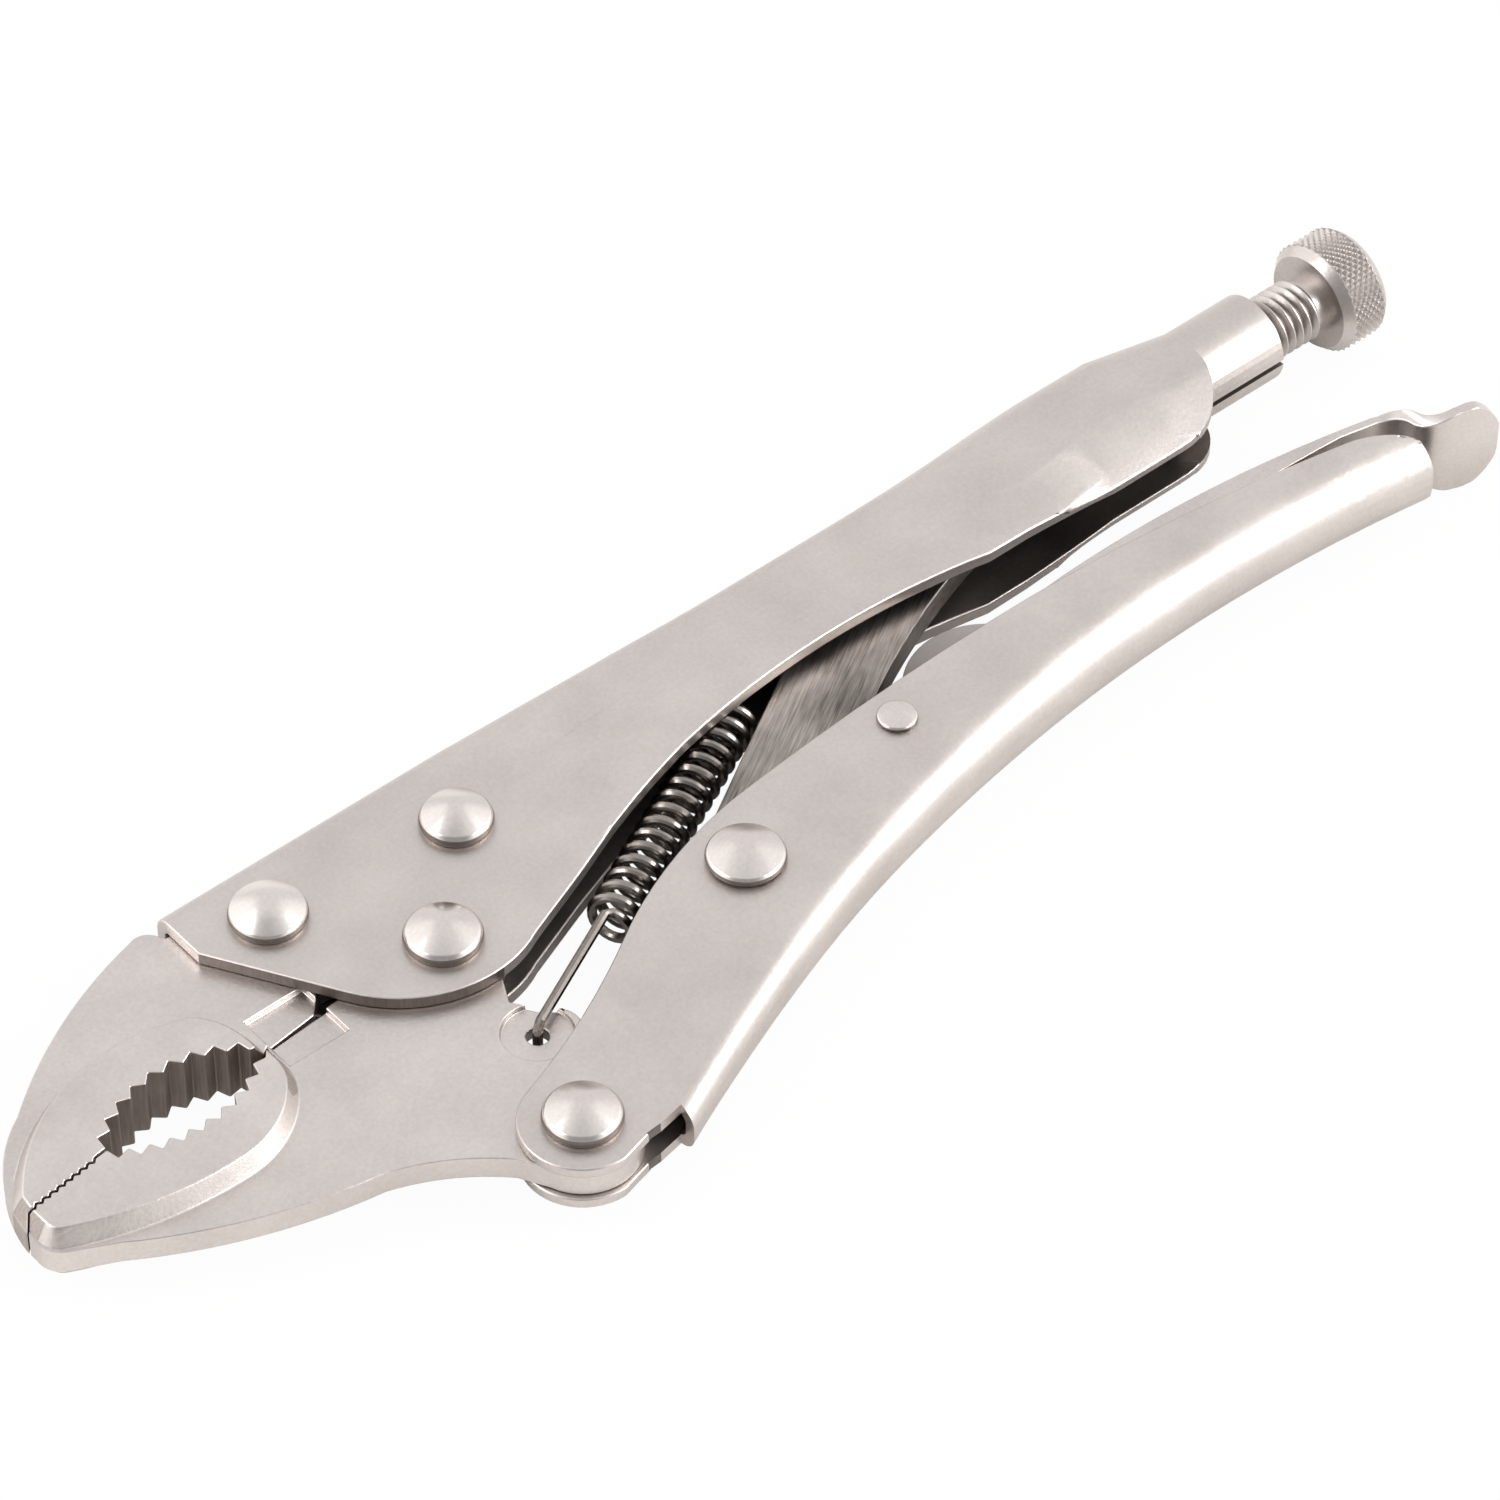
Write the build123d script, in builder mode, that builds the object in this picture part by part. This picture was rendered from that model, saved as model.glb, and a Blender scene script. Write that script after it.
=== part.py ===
"""Locking pliers with curved jaws, 250 mm class, in millimetres.

The tool lies on its side: +X runs from the nose to the adjusting knob, +Y from
the lever handle to the spine of the fixed handle, +Z up through its thickness.
Side-view points are measured from the jaw pivot, in the middle plane of the tool.
"""
from math import cos, radians, sin, sqrt
import os

from build123d import *

os.makedirs("parts", exist_ok=True)

# Pivots and rivets in the side view, from the jaw pivot
lever_pivot = (-5.4, -34.8)
link_pivot = (38.4, -14.8)
release_pivot = (69.4, -9.1)
front_rivet_at = (-14.8, 17.6)
rear_rivet_at = (14.1, 14.9)

# Thickness of the flat pieces and the sheet, and the running clearances
web_thickness = 3.8
grip_thickness = 9.0
link_thickness = 4.2
handle_sheet = 2.1
lever_sheet = 1.7
release_sheet = 1.2
side_clearance = 0.15
pin_clearance = 0.05
seat_clearance = 0.1

# Rivets
rivet_radius = 3.0
rivet_head_radius = 5.0
rear_head_radius = 4.7
link_head_radius = 5.4
rivet_rim = 1.7
rivet_crown = 1.6
link_rim = 1.0
link_crown = 1.4
front_rivet_flat = 2.3
rivet_flat = 0.6
release_rivet_radius = 1.6
release_head_radius = 2.8
release_rim = 0.5
release_crown = 0.5

# Jaws
nose_reach = 69.0
nose_gap = 0.35
jaw_slit = 0.3
coarse_teeth = 10
coarse_depth = 1.35
fine_teeth = 9
fine_depth = 0.5
pad_draft = 28
slit_recess = 0.9
slit_recess_at = (-22.4, 2.1)
slit_recess_size = (9.4, 9.6)
pivot_boss_radius = 8.0
boss_clearance = 0.6
tail_radius = 7.8
spring_hole_at = (0.4, -18.6)
spring_hole_radius = 1.5
ear_recess_radius = 4.8
ear_recess = 0.8

# Fixed handle
spine_y = 27.5
spine_sag = 2.1
handle_front_x = -25.6
handle_bend = 2.6
waist_half = 6.0
barrel_half = 7.1
barrel_top_y = 27.2
barrel_dip = 0.6
barrel_knee_y = 13.5
barrel_mouth_half = 5.6
barrel_edge_half = 3.2
barrel_edge_y = 5.7
barrel_bend = 6.0
barrel_start_x = 106
barrel_closed_x = 122
barrel_end_x = 134
barrel_rear_x = 146.5

# Collar, screw and knob
screw_axis_y = 18.4
screw_radius = 4.75
screw_clearance = 0.1
screw_tip_x = 121.0
screw_chamfer = 0.8
collar_radius = 6.6
collar_start_x = 139.5
collar_end_x = 159.4
collar_seam = 0.9
knob_front_x = 170.4
knob_radius = 8.45
knob_length = 7.8
knob_front_chamfer = 1.3
knob_rear_chamfer = 0.8
undercut_radius = 4.1
undercut_length = 1.6

# Lever handle
lever_end_radius = 8.5
lever_back_x = 5.5
lever_rear_x = 158.7
lever_crest = (120, -16.5)
lever_sweep_radius = 262
lever_toe_x = 22
lever_toe_drop = 0.75
lever_bend = 3.0
lever_notch_at = (1.6, -41.7)
lever_notch_y = -41.0
lever_flare_x = 100
lever_rear_half = 6.3
lever_rear_bend = 6.1
lever_spans = 10

# Toggle link
link_width = 13.3
link_rise = 0.45
link_lean = 31
link_straight = 34.0
link_end_radius = 4.6
link_end_x = 118.0

# Release lever
tail_half = 7.3
tail_end_x = 172.0
neck_half = 5.2
tail_sheet = 1.5
release_front_half = 2.7
release_rear_half = 4.0

# Return spring
spring_wire = 1.4
spring_radius = 3.0
spring_pitch = 2.5
spring_turns = 17
coil_runs = 8
spring_lead = 21.5
tab_at = (77.0, 19.4)
tab_half = 1.0
tab_length = 3.0


def lever_back_y(x):
    """Height of the lever's back at x: one long sweep, crest near the rear, dropped at its front."""
    sweep = lever_sweep_radius - sqrt(lever_sweep_radius**2 - (x - lever_crest[0]) ** 2)
    toe = max(0.0, (lever_toe_x - x) / (lever_toe_x - lever_back_x))
    return lever_crest[1] - sweep - lever_toe_drop * toe**2


# Values worked out from the sizes above
web_half = web_thickness / 2
grip_half = grip_thickness / 2
link_half = link_thickness / 2
slot_half = web_half + side_clearance
handle_half = slot_half + handle_sheet
lever_half = slot_half + lever_sheet
knob_end_x = knob_front_x + knob_length
heel_y = lever_pivot[1] - lever_end_radius
pivot_x = (nose_reach - knob_end_x) / 2
pivot_y = -(spine_y + min(heel_y, lever_back_y(lever_back_x))) / 2
through = 4 * knob_radius

# The middle plane of the tool, with the jaw pivot as its origin
tool = Plane(origin=(pivot_x, pivot_y, knob_radius))


def across(x):
    """Plane across the tool at x, whose axes are the tool's Y and Z."""
    return Plane(origin=tool.from_local_coords((x, 0, 0)), x_dir=(0, 1, 0), z_dir=(1, 0, 0))


def along(x, y):
    """Plane across the tool at x, with its origin at height y, for round pieces."""
    return Plane(origin=tool.from_local_coords((x, y, 0)), x_dir=(0, 1, 0), z_dir=(1, 0, 0))


def channel_section(x, closed_y, knee_y, open_y, closed_half, open_half, bend):
    """Filled outline of a folded channel at x: round bends, sides that lean in past the knee."""
    up = 1 if closed_y > open_y else -1
    slope = bend * (1 - cos(radians(45)))
    with BuildSketch(across(x)) as section:
        with BuildLine():
            near_lip = Line((open_y, open_half), (knee_y, closed_half))
            near = Line(near_lip @ 1, (closed_y - up * bend, closed_half))
            near_bend = ThreePointArc(
                near @ 1,
                (closed_y - up * slope, closed_half - slope),
                (closed_y, closed_half - bend),
            )
            back = Line(near_bend @ 1, (closed_y, bend - closed_half))
            far_bend = ThreePointArc(
                back @ 1,
                (closed_y - up * slope, slope - closed_half),
                (closed_y - up * bend, -closed_half),
            )
            far = Line(far_bend @ 1, (knee_y, -closed_half))
            far_lip = Line(far @ 1, (open_y, -open_half))
            Line(far_lip @ 1, near_lip @ 0)
        make_face()
    return section.sketch


def tooth_points(arc, count, depth):
    """Zigzag along an arc: valleys on the arc, tips to its left by the depth."""
    points = []
    for step in range(2 * count + 1):
        place = step / (2 * count)
        point = arc @ place
        if step % 2:
            heading = arc % place
            point = point + Vector(-heading.Y, heading.X) * depth
        points.append(point)
    return points


def rivet(centre, half, flat=rivet_flat, radius=rivet_radius, head_radius=rivet_head_radius,
          rim=rivet_rim, crown=rivet_crown):
    """Rivet with a cone-topped head on each side of a stack that is half thick."""
    seat = half + seat_clearance
    plane = Plane(origin=tool.from_local_coords((*centre, 0)), x_dir=(1, 0, 0), z_dir=(0, -1, 0))
    with BuildPart() as pin:
        with BuildSketch(plane):
            with BuildLine():
                Polyline(
                    (0, -seat - rim - crown),
                    (flat, -seat - rim - crown),
                    (head_radius, -seat - rim),
                    (head_radius, -seat),
                    (radius, -seat),
                    (radius, seat),
                    (head_radius, seat),
                    (head_radius, seat + rim),
                    (flat, seat + rim + crown),
                    (0, seat + rim + crown),
                    close=True,
                )
            make_face()
        revolve(axis=Axis(plane.origin, (0, 0, 1)))
    return pin


# Lines that the two jaws share: the bite, the fine teeth and the slit behind them
bite_front = (-56.3, -0.6)
bite_rear = (-28.7, 0.8)
upper_bite_top = (-42.5, 6.2)
lower_bite_low = (-43.0, -6.0)
fine_front = (1.4 - nose_reach, -2.0)
nose_split = (-nose_reach - 1, -4.6)
slit_front = (-27.4, 1.75)
slit_rear = (-19.1, 2.7)
slit_floor = (-19.6, 2.0)
slit_end = (-14.7, 2.3)
slit_throat = (-16.2, 5.6)

# Upper jaw: a forging whose tang is riveted between the cheeks
with BuildPart() as upper_jaw:
    with BuildSketch(tool):
        with BuildLine():
            tang_y = spine_y - handle_bend
            tang_arc = pivot_boss_radius + boss_clearance
            nose = ThreePointArc(
                (-nose_reach, nose_split[1] + 1.6), (3.6 - nose_reach, 6.6), (10.4 - nose_reach, 12.8)
            )
            brow = ThreePointArc(nose @ 1, (-44.9, 21.8), (-30.0, spine_y - 0.2))
            shoulder = ThreePointArc(brow @ 1, (-27.6, spine_y - 0.4), (-26.4, tang_y + 0.5))
            seat = Line(shoulder @ 1, (handle_front_x - 0.4, tang_y))
            top = Line(seat @ 1, (19.5, tang_y))
            heel = Line(top @ 1, (19.5, 9.4))
            under = Line(heel @ 1, (tang_arc * cos(radians(42)), tang_arc * sin(radians(42))))
            saddle = ThreePointArc(
                under @ 1,
                (0, tang_arc),
                (tang_arc * cos(radians(150)), tang_arc * sin(radians(150))),
            )
            throat = Line(saddle @ 1, slit_throat)
            chamfer = Line(throat @ 1, slit_rear)
            drop = Line(chamfer @ 1, (slit_rear[0], slit_rear[1] - 14))
            floor = Line(drop @ 1, (-nose_reach, slit_rear[1] - 14))
            Line(floor @ 1, nose @ 0)
        make_face()
    extrude(amount=web_half, both=True)
    with BuildSketch(tool.offset(web_half)):
        with BuildLine():
            side = Line((-28.5, -12), (-28.5, 2.5))
            rear = TangentArc(side @ 1, (-32.4, 11.4), tangent=side % 1)
            crest = ThreePointArc(rear @ 1, (-40.6, 13.6), (-50.0, 13.1))
            fall = TangentArc(crest @ 1, (0.8 - nose_reach, 0.5), tangent=crest % 1)
            tip = Line(fall @ 1, (0.4 - nose_reach, -2.2))
            lip = Line(tip @ 1, (0.4 - nose_reach, -12))
            Line(lip @ 1, side @ 0)
        make_face()
    extrude(amount=grip_half - web_half, taper=pad_draft)
    mirror(about=tool)
    with BuildSketch(tool):
        with BuildLine():
            bite_arc = ThreePointArc(bite_rear, upper_bite_top, bite_front, mode=Mode.PRIVATE)
            fine_arc = Line(bite_front, fine_front, mode=Mode.PRIVATE)
            upper_bite = tooth_points(bite_arc, coarse_teeth, coarse_depth)
            fine_line = tooth_points(fine_arc, fine_teeth, fine_depth)
            Polyline(
                slit_rear,
                slit_front,
                *upper_bite,
                *fine_line[1:],
                nose_split,
                (nose_split[0], -20),
                (slit_rear[0] + 4, -20),
                (slit_rear[0] + 4, slit_rear[1]),
                close=True,
            )
        make_face()
    extrude(amount=through, both=True, mode=Mode.SUBTRACT)
    for side in (1, -1):
        with BuildSketch(tool.offset(side * web_half)):
            with Locations(slit_recess_at):
                Rectangle(*slit_recess_size)
        extrude(amount=-side * slit_recess, mode=Mode.SUBTRACT)
    with Locations(tool):
        with Locations(front_rivet_at, rear_rivet_at):
            Hole(rivet_radius + pin_clearance)
upper_jaw.part.label = "upper_jaw"
export_step(upper_jaw.part, "parts/upper_jaw.step")

# Lower jaw: a forging that swings on the jaw pivot, its tail held by the lever
with BuildPart() as lower_jaw:
    with BuildSketch(tool):
        with BuildLine():
            boss = pivot_boss_radius
            tail_x, tail_y = lever_pivot
            crown_line = Line((-nose_reach, 8), (-12.0, 8))
            lead_in = Line(crown_line @ 1, (-boss, 0))
            boss_arc = ThreePointArc(lead_in @ 1, (0, boss), (boss, 0))
            boss_rear = ThreePointArc(
                boss_arc @ 1,
                (boss * cos(radians(32)), -boss * sin(radians(32))),
                (boss * cos(radians(64)), -boss * sin(radians(64))),
            )
            neck = Line(boss_rear @ 1, (0.9, -12.3))
            ear_top = Line(neck @ 1, (3.6, -16.2))
            ear = ThreePointArc(ear_top @ 1, (6.0, -18.9), (5.2, -22.0))
            back = Line(ear @ 1, (tail_x + tail_radius, tail_y))
            tail = ThreePointArc(
                back @ 1,
                (tail_x, tail_y - tail_radius),
                (tail_x - tail_radius * sin(radians(70)), tail_y - tail_radius * cos(radians(70))),
            )
            belly = Line(tail @ 1, (-15.0, -33.4))
            waist = ThreePointArc(belly @ 1, (-20.5, -28.7), (-29.0, -24.5))
            keel = ThreePointArc(waist @ 1, (-45.3, -20.1), (8.0 - nose_reach, -12.1))
            toe = Line(keel @ 1, (1.9 - nose_reach, -9.0))
            chin = ThreePointArc(toe @ 1, (0.5 - nose_reach, -7.6), (-nose_reach, -5.2))
            Line(chin @ 1, crown_line @ 0)
        make_face()
    extrude(amount=web_half, both=True)
    with BuildSketch(tool.offset(web_half)):
        with BuildLine():
            lip = Line((0.4 - nose_reach, 10), (0.4 - nose_reach, -5.3))
            corner = ThreePointArc(lip @ 1, (0.9 - nose_reach, -7.3), (2.4 - nose_reach, -8.6))
            fall = ThreePointArc(corner @ 1, (13.0 - nose_reach, -12.4), (-42.0, -14.0))
            turn = TangentArc(fall @ 1, (-29.2, -7.2), tangent=fall % 1)
            rise = TangentArc(turn @ 1, (-27.7, -1.5), tangent=turn % 1)
            side = Line(rise @ 1, (-27.7, 10))
            Line(side @ 1, lip @ 0)
        make_face()
    extrude(amount=grip_half - web_half, taper=pad_draft)
    mirror(about=tool)
    with BuildSketch(tool):
        with BuildLine():
            low_front = Vector(*bite_front) - Vector(0, nose_gap)
            low_rear = Vector(*bite_rear) - Vector(1.2, 2.2)
            lower_arc = ThreePointArc(low_front, lower_bite_low, low_rear, mode=Mode.PRIVATE)
            lower_bite = tooth_points(lower_arc, coarse_teeth, coarse_depth)
            lower_fine = [point - Vector(0, nose_gap) for point in reversed(fine_line)]
            slit_drop = Vector(0, jaw_slit)
            Polyline(
                (nose_split[0], 20),
                Vector(*nose_split) - Vector(0, nose_gap),
                *lower_fine[:-1],
                *lower_bite,
                Vector(*slit_front) - slit_drop,
                slit_floor,
                slit_end,
                (-boss - 1.0, slit_end[1]),
                (-boss - 1.0, 20),
                close=True,
            )
        make_face()
    extrude(amount=through, both=True, mode=Mode.SUBTRACT)
    for side in (1, -1):
        with BuildSketch(tool.offset(side * web_half)):
            with Locations(spring_hole_at):
                Circle(ear_recess_radius)
        extrude(amount=-side * ear_recess, mode=Mode.SUBTRACT)
        with BuildSketch(tool.offset(side * web_half)):
            with Locations(slit_recess_at):
                Rectangle(*slit_recess_size)
        extrude(amount=-side * slit_recess, mode=Mode.SUBTRACT)
    with Locations(tool):
        with Locations((0, 0), lever_pivot):
            Hole(rivet_radius + pin_clearance)
        with Locations(spring_hole_at):
            Hole(spring_hole_radius)
lower_jaw.part.label = "lower_jaw"
export_step(lower_jaw.part, "parts/lower_jaw.step")

# Fixed handle: one folded sheet, flat cheeks in front, a wider barrel behind,
# and the collar rolled at the end for the screw
collar_top = screw_axis_y + collar_radius
cheek_open_y = -12
waist_y = spine_y - spine_sag
waist_open_y = 3.0
edge_y = barrel_edge_y - 1
knee_y = barrel_knee_y
handle_stations = [
    (handle_front_x, spine_y, knee_y, cheek_open_y, handle_half, handle_half, handle_bend),
    (20, spine_y, knee_y, cheek_open_y, handle_half, handle_half, handle_bend),
    (45, waist_y, knee_y, waist_open_y, waist_half, waist_half, handle_bend),
    (90, waist_y, knee_y, waist_open_y, waist_half, waist_half, handle_bend),
    (barrel_start_x, barrel_top_y - barrel_dip, knee_y, edge_y, barrel_half, barrel_mouth_half, barrel_bend),
    (barrel_closed_x, barrel_top_y, knee_y, edge_y, barrel_half, barrel_edge_half, barrel_bend),
    (barrel_end_x, barrel_top_y, knee_y, edge_y, barrel_half, barrel_edge_half, barrel_bend),
    (barrel_rear_x, collar_top, knee_y, edge_y, collar_radius, barrel_edge_half, collar_radius - 0.3),
]
with BuildPart() as fixed_handle:
    loft(sections=[channel_section(*station) for station in handle_stations], ruled=True)
    hollow = [
        channel_section(x, top - handle_sheet, knee, low - 3, half - handle_sheet,
                        low_half - handle_sheet, bend - handle_sheet)
        for x, top, knee, low, half, low_half, bend in handle_stations
    ]
    loft(sections=hollow, ruled=True, mode=Mode.SUBTRACT)
    with BuildSketch(tool):
        with BuildLine():
            front = Line((handle_front_x, spine_y + 1), (handle_front_x, 18.3))
            brow = Line(front @ 1, (-15.0, 0.6))
            chin = TangentArc(brow @ 1, (-1.5, -8.6), tangent=brow % 1)
            lift = TangentArc(chin @ 1, (10.0, -6.7), tangent=chin % 1)
            ramp = Line(lift @ 1, (29.0, 0.8))
            arch = ThreePointArc(ramp @ 1, (50.0, 6.3), (72.0, 8.4))
            fall = TangentArc(arch @ 1, (99.0, barrel_edge_y), tangent=arch % 1)
            rail = Line(fall @ 1, (135.0, barrel_edge_y))
            corner = TangentArc(rail @ 1, (barrel_rear_x, 16.5), tangent=rail % 1)
            end = Line(corner @ 1, (barrel_rear_x, spine_y + 1))
            Line(end @ 1, front @ 0)
        make_face()
    extrude(amount=through, both=True, mode=Mode.INTERSECT)
    with BuildSketch(along(collar_start_x, screw_axis_y)):
        Circle(collar_radius)
    extrude(amount=collar_end_x - collar_start_x)
    with BuildSketch(along(collar_start_x, screw_axis_y)):
        Circle(screw_radius + screw_clearance)
    extrude(amount=collar_end_x - collar_start_x, mode=Mode.SUBTRACT)
    with BuildSketch(along(collar_start_x, screw_axis_y - collar_radius)):
        Rectangle(collar_radius, collar_seam)
    extrude(amount=collar_end_x - collar_start_x, mode=Mode.SUBTRACT)
    with BuildSketch(tool):
        tab_root = waist_y - handle_sheet / 2
        with Locations((tab_at[0] + tab_length / 2, (tab_at[1] + tab_root) / 2)):
            Rectangle(tab_length, tab_root - tab_at[1])
    extrude(amount=tab_half, both=True)
    with Locations(tool):
        with Locations((0, 0), front_rivet_at, rear_rivet_at):
            Hole(rivet_radius + pin_clearance)
fixed_handle.part.label = "fixed_handle"
export_step(fixed_handle.part, "parts/fixed_handle.step")


def lever_flare(x):
    """Share of the lever's widening that is reached at x."""
    return min(1.0, max(0.0, (x - lever_back_x) / (lever_flare_x - lever_back_x)))


def lever_half_at(x):
    """Half width of the lever at x."""
    return lever_half + (lever_rear_half - lever_half) * lever_flare(x)


def lever_section(x, inset, open_y):
    """Section of the lever at x, whose bends grow into a round back; inset by a wall."""
    bend = lever_bend + (lever_rear_bend - lever_bend) * lever_flare(x) ** 2
    half = lever_half_at(x) - inset
    back_y = lever_back_y(x) + inset
    return channel_section(x, back_y, (open_y + back_y + bend) / 2, open_y, half, half, bend - inset)


# Lever handle: a deep folded channel that widens to a round back, with two cheeks
lever_open_y = 3.0
span = (lever_rear_x - lever_back_x) / lever_spans
lever_stations = [lever_back_x + span * step for step in range(lever_spans + 1)]
with BuildPart() as lever_handle:
    loft(sections=[lever_section(x, 0, lever_open_y) for x in lever_stations], ruled=True)
    with BuildSketch(tool):
        with BuildLine():
            cheek = Polyline(
                (lever_pivot[0], heel_y),
                (lever_pivot[0] - 12, heel_y),
                (lever_pivot[0] - 12, lever_open_y),
                (lever_back_x, lever_open_y),
                (lever_back_x, lever_notch_y),
                lever_notch_at,
            )
            heading = Vector(lever_notch_at[0] - lever_back_x, lever_notch_at[1] - lever_notch_y)
            TangentArc(cheek @ 1, cheek @ 0, tangent=heading)
        make_face()
    extrude(amount=lever_half, both=True)
    hollow = [lever_section(x, lever_sheet, lever_open_y + 2) for x in lever_stations]
    loft(sections=hollow, ruled=True, mode=Mode.SUBTRACT)
    with BuildSketch(tool):
        with Locations((lever_back_x - 20, -20)):
            Rectangle(40, 60)
    extrude(amount=slot_half, both=True, mode=Mode.SUBTRACT)
    with BuildSketch(tool):
        with BuildLine():
            reach = lever_end_radius
            end = ThreePointArc(
                (lever_pivot[0], heel_y),
                (lever_pivot[0] - reach, lever_pivot[1]),
                (lever_pivot[0] + reach * cos(radians(108)), lever_pivot[1] + reach * sin(radians(108))),
            )
            throat = TangentArc(end @ 1, (17.6, -14.9), tangent=end % 1)
            knee = TangentArc(throat @ 1, (44.6, -5.5), tangent=throat % 1)
            rim = ThreePointArc(knee @ 1, (72.0, -3.9), (100.0, -4.1))
            droop = TangentArc(rim @ 1, (150.0, -10.0), tangent=rim % 1)
            heel = TangentArc(droop @ 1, (lever_rear_x - 0.3, -15.4), tangent=droop % 1)
            rear = TangentArc(heel @ 1, (lever_rear_x - 4.5, -20.2), tangent=heel % 1)
            low = Line(rear @ 1, (lever_back_x, -50))
            front = Line(low @ 1, (lever_pivot[0], -50))
            Line(front @ 1, end @ 0)
        make_face()
    extrude(amount=through, both=True, mode=Mode.INTERSECT)
    with Locations(tool):
        with Locations(lever_pivot, link_pivot):
            Hole(rivet_radius + pin_clearance)
        with Locations(release_pivot):
            Hole(release_rivet_radius + pin_clearance)
lever_handle.part.label = "lever_handle"
export_step(lever_handle.part, "parts/lever_handle.step")

# Toggle link: a bent flat bar from the lever to the tip of the screw
with BuildPart() as toggle_link:
    with BuildSketch(tool):
        with BuildLine():
            half = link_width / 2
            lean = radians(link_lean)
            heading = Vector(cos(lean), sin(lean))
            normal = Vector(-sin(lean), cos(lean))
            eye = Vector(*link_pivot) + normal * link_rise
            tip = (link_end_x - link_end_radius, screw_axis_y)
            under = Line(eye - normal * half, eye - normal * half + heading * link_straight)
            arch = TangentArc(under @ 1, (tip[0], tip[1] - link_end_radius), tangent=under % 1)
            nose = ThreePointArc(
                arch @ 1, (link_end_x, screw_axis_y), (tip[0], tip[1] + link_end_radius)
            )
            over = Line(eye + normal * half, eye + normal * half + heading * link_straight)
            TangentArc(over @ 1, nose @ 1, tangent=over % 1)
            ThreePointArc(over @ 0, eye - heading * half, under @ 0)
        make_face()
    extrude(amount=link_half, both=True)
    with Locations(tool):
        with Locations(link_pivot):
            Hole(rivet_radius + pin_clearance)
toggle_link.part.label = "toggle_link"
export_step(toggle_link.part, "parts/toggle_link.step")

# Release lever: an inverted channel nested in the lever handle, with a fish-tail paddle
with BuildPart() as release_lever:
    with BuildSketch(tool):
        with BuildLine():
            nose = Line((61.0, -12.4), (61.6, -11.0))
            ramp = Line(nose @ 1, (76.4, -2.2))
            hump = ThreePointArc(ramp @ 1, (84.0, 0.7), (91.0, -1.9))
            dip = TangentArc(hump @ 1, (100.0, -2.6), tangent=hump % 1)
            deck = ThreePointArc(dip @ 1, (130.0, -2.8), (157.6, -7.0))
            curl = TangentArc(deck @ 1, (162.0, -11.9), tangent=deck % 1)
            slope = TangentArc(curl @ 1, (165.2, -15.2), tangent=curl % 1)
            tip = Line(slope @ 1, (tail_end_x, -16.9))
            tip_end = Line(tip @ 1, (tail_end_x - 0.3, -16.9 - tail_sheet))
            tip_under = Line(tip_end @ 1, (165.0, -16.7))
            slope_under = ThreePointArc(tip_under @ 1, (161.9, -15.2), (160.5, -12.0))
            curl_under = ThreePointArc(slope_under @ 1, (159.4, -9.5), (156.8, -8.2))
            deck_under = Line(curl_under @ 1, (152.0, -7.2))
            wall_under = ThreePointArc(deck_under @ 1, (120.0, -6.9), (96.0, -9.0))
            wall_drop = Line(wall_under @ 1, (80.0, -10.2))
            wall_front = Line(wall_drop @ 1, (66.0, -14.0))
            Line(wall_front @ 1, nose @ 0)
        make_face()
    extrude(amount=through, both=True)
    with BuildSketch(tool):
        with BuildLine():
            ramp_in = Line((60.0, -13.5), (76.7, -3.6))
            hump_in = ThreePointArc(ramp_in @ 1, (84.0, -0.6), (90.8, -3.2))
            dip_in = TangentArc(hump_in @ 1, (100.0, -3.9), tangent=hump_in % 1)
            deck_in = ThreePointArc(dip_in @ 1, (130.0, -4.1), (151.5, -6.8))
            low = Line(deck_in @ 1, (151.5, -20))
            floor = Line(low @ 1, (60.0, -20))
            Line(floor @ 1, ramp_in @ 0)
        make_face()
    extrude(amount=release_front_half - release_sheet, both=True, mode=Mode.SUBTRACT)
    with BuildSketch(Plane(origin=tool.origin, x_dir=(1, 0, 0), z_dir=(0, -1, 0))):
        with BuildLine():
            near = Polyline(
                (60.0, release_front_half),
                (105.0, release_rear_half),
                (158.8, release_rear_half),
                (161.0, neck_half),
            )
            flare = TangentArc(near @ 1, (165.2, tail_half), tangent=(1, 1))
            edge = Line(flare @ 1, (167.8, tail_half))
            paddle = ThreePointArc(edge @ 1, (tail_end_x, 0), (167.8, -tail_half))
            edge_far = Line(paddle @ 1, (165.2, -tail_half))
            flare_far = TangentArc((161.0, -neck_half), edge_far @ 1, tangent=(1, -1))
            Polyline(
                flare_far @ 0,
                (158.8, -release_rear_half),
                (105.0, -release_rear_half),
                (60.0, -release_front_half),
                near @ 0,
            )
        make_face()
    extrude(amount=through, both=True, mode=Mode.INTERSECT)
    with Locations(tool):
        with Locations(release_pivot):
            Hole(release_rivet_radius + pin_clearance)
release_lever.part.label = "release_lever"
export_step(release_lever.part, "parts/release_lever.step")

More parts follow.
